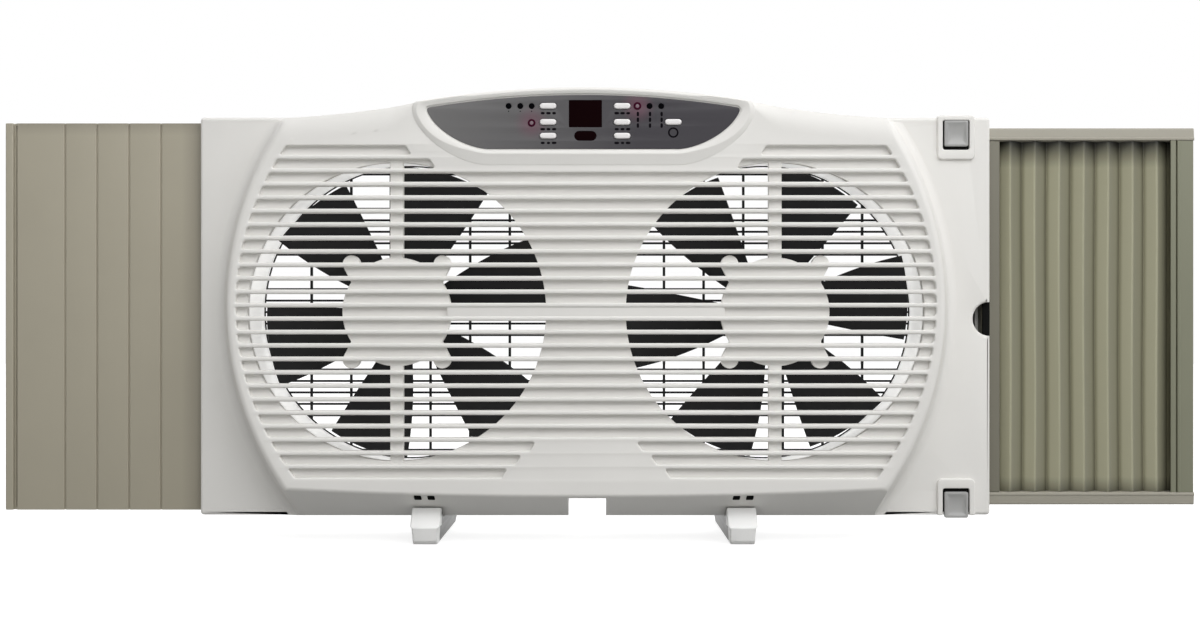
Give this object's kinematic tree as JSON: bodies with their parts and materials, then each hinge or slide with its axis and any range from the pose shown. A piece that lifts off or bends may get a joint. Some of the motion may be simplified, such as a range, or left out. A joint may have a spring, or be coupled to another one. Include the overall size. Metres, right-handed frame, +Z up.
{
  "type": "window fan",
  "caption": "Twin window fan with a bulged slatted grille, a control panel, a grooved filler panel on the left and a sliding pleated panel on the right.",
  "frame": {"origin": "on the sill under the feet, midway along the width and the depth of the whole fan", "axes": "+X to the right seen from the room, +Z up, the grille faces -Y and the rear guards +Y"},
  "size_m": [0.989, 0.148, 0.368],
  "materials": {
    "white_plastic": "fine matte moulded styrene, warm white",
    "foot_plastic": "smooth moulded nylon, white",
    "olive_plastic": "matte extruded plastic, olive grey",
    "curtain_plastic": "thin satin sheet, olive grey, folded",
    "plate_plastic": "printed overlay, dark grey, fine matte",
    "black_plastic": "moulded polypropylene, black",
    "dark_plastic": "dark moulded resin",
    "smoke_plastic": "glossy dark red smoke acrylic",
    "lamp_resin": "clear red lamp resin",
    "board_laminate": "green lacquered laminate",
    "zinc_steel": "zinc plated steel",
    "can_steel": "drawn galvanised sheet",
    "core_iron": "stacked silicon steel laminations",
    "winding_copper": "enamelled copper wire",
    "bush_bronze": "oiled sintered bronze",
    "lead_rubber": "grey black insulation",
    "lock_plastic": "satin grey moulded plastic",
    "key_plastic": "smooth white moulded plastic"
  },
  "bodies": {
    "body": {"front_grille": "white_plastic", "main_housing": "white_plastic", "control_cover": "white_plastic", "control_plate": "plate_plastic", "display_window": "smoke_plastic", "receiver_window": "smoke_plastic", "indicator_lenses": "smoke_plastic", "indicator_lamps": "lamp_resin", "circuit_board": "board_laminate", "display_module": "dark_plastic", "infrared_receiver": "dark_plastic", "key_switches": "dark_plastic", "board_screws": "zinc_steel", "cover_screws": "zinc_steel", "housing_screws": "zinc_steel", "guard_screws": "zinc_steel", "motor_screws": "zinc_steel", "rear_guard_left": "black_plastic", "rear_guard_right": "black_plastic", "motor_can_left": "can_steel", "motor_can_right": "can_steel", "stator_left": "core_iron", "stator_right": "core_iron", "windings_left": "winding_copper", "windings_right": "winding_copper", "bushes_left": "bush_bronze", "bushes_right": "bush_bronze", "run_capacitors": "dark_plastic", "motor_leads": "lead_rubber", "cord_gland": "black_plastic", "lock_bezel_top": "white_plastic", "lock_bezel_bottom": "white_plastic", "curtain_stile": "olive_plastic", "pleated_curtain": "curtain_plastic"},
    "left_fan": {"fan_blade_left": "black_plastic", "motor_rotor_left": "core_iron", "fan_shaft_left": "zinc_steel", "fan_nut_left": "black_plastic"},
    "right_fan": {"fan_blade_right": "black_plastic", "motor_rotor_right": "core_iron", "fan_shaft_right": "zinc_steel", "fan_nut_right": "black_plastic"},
    "slider": {"slider_frame": "olive_plastic"},
    "filler": {"filler_panel": "olive_plastic", "filler_edge_strip": "olive_plastic"},
    "top_lock": {"lock_tab_top": "lock_plastic"},
    "bottom_lock": {"lock_tab_bottom": "lock_plastic"},
    "left_foot": {"foot_left": "foot_plastic"},
    "right_foot": {"foot_right": "foot_plastic"},
    "left_top_key": {"key_left_top": "key_plastic"},
    "left_middle_key": {"key_left_middle": "key_plastic"},
    "left_bottom_key": {"key_left_bottom": "key_plastic"},
    "right_top_key": {"key_right_top": "key_plastic"},
    "right_middle_key": {"key_right_middle": "key_plastic"},
    "right_bottom_key": {"key_right_bottom": "key_plastic"},
    "power_key": {"key_power": "key_plastic"}
  },
  "joints": [
    {"name": "left_fan_spin", "type": "hinge", "parent": "body", "child": "left_fan", "pos_m": [-0.1633, 0, 0.1875], "axis": [0, 1, 0], "continuous": true},
    {"name": "right_fan_spin", "type": "hinge", "parent": "body", "child": "right_fan", "pos_m": [0.1407, 0, 0.1875], "axis": [0, 1, 0], "continuous": true},
    {"name": "slider_in", "type": "slide", "parent": "body", "child": "slider", "axis": [1, 0, 0], "range_m": [-0.12, 0], "deforming": ["pleated_curtain"]},
    {"name": "filler_pull", "type": "slide", "parent": "body", "child": "filler", "axis": [-1, 0, 0], "range_m": [0, 0.015]},
    {"name": "top_lock_slide", "type": "slide", "parent": "body", "child": "top_lock", "axis": [0, 0, -1], "range_m": [0, 0.0025]},
    {"name": "bottom_lock_slide", "type": "slide", "parent": "body", "child": "bottom_lock", "axis": [0, 0, 1], "range_m": [0, 0.0025]},
    {"name": "left_foot_pull", "type": "slide", "parent": "body", "child": "left_foot", "axis": [0, 0, -1], "range_m": [0, 0.02]},
    {"name": "right_foot_pull", "type": "slide", "parent": "body", "child": "right_foot", "axis": [0, 0, -1], "range_m": [0, 0.02]},
    {"name": "left_top_press", "type": "slide", "parent": "body", "child": "left_top_key", "axis": [0, 1, 0], "range_m": [0, 0.001], "stiffness_N_per_m": 600, "springref_m": -0.0005},
    {"name": "left_middle_press", "type": "slide", "parent": "body", "child": "left_middle_key", "axis": [0, 1, 0], "range_m": [0, 0.001], "stiffness_N_per_m": 600, "springref_m": -0.0005},
    {"name": "left_bottom_press", "type": "slide", "parent": "body", "child": "left_bottom_key", "axis": [0, 1, 0], "range_m": [0, 0.001], "stiffness_N_per_m": 600, "springref_m": -0.0005},
    {"name": "right_top_press", "type": "slide", "parent": "body", "child": "right_top_key", "axis": [0, 1, 0], "range_m": [0, 0.001], "stiffness_N_per_m": 600, "springref_m": -0.0005},
    {"name": "right_middle_press", "type": "slide", "parent": "body", "child": "right_middle_key", "axis": [0, 1, 0], "range_m": [0, 0.001], "stiffness_N_per_m": 600, "springref_m": -0.0005},
    {"name": "right_bottom_press", "type": "slide", "parent": "body", "child": "right_bottom_key", "axis": [0, 1, 0], "range_m": [0, 0.001], "stiffness_N_per_m": 600, "springref_m": -0.0005},
    {"name": "power_press", "type": "slide", "parent": "body", "child": "power_key", "axis": [0, 1, 0], "range_m": [0, 0.001], "stiffness_N_per_m": 600, "springref_m": -0.0005}
  ]
}
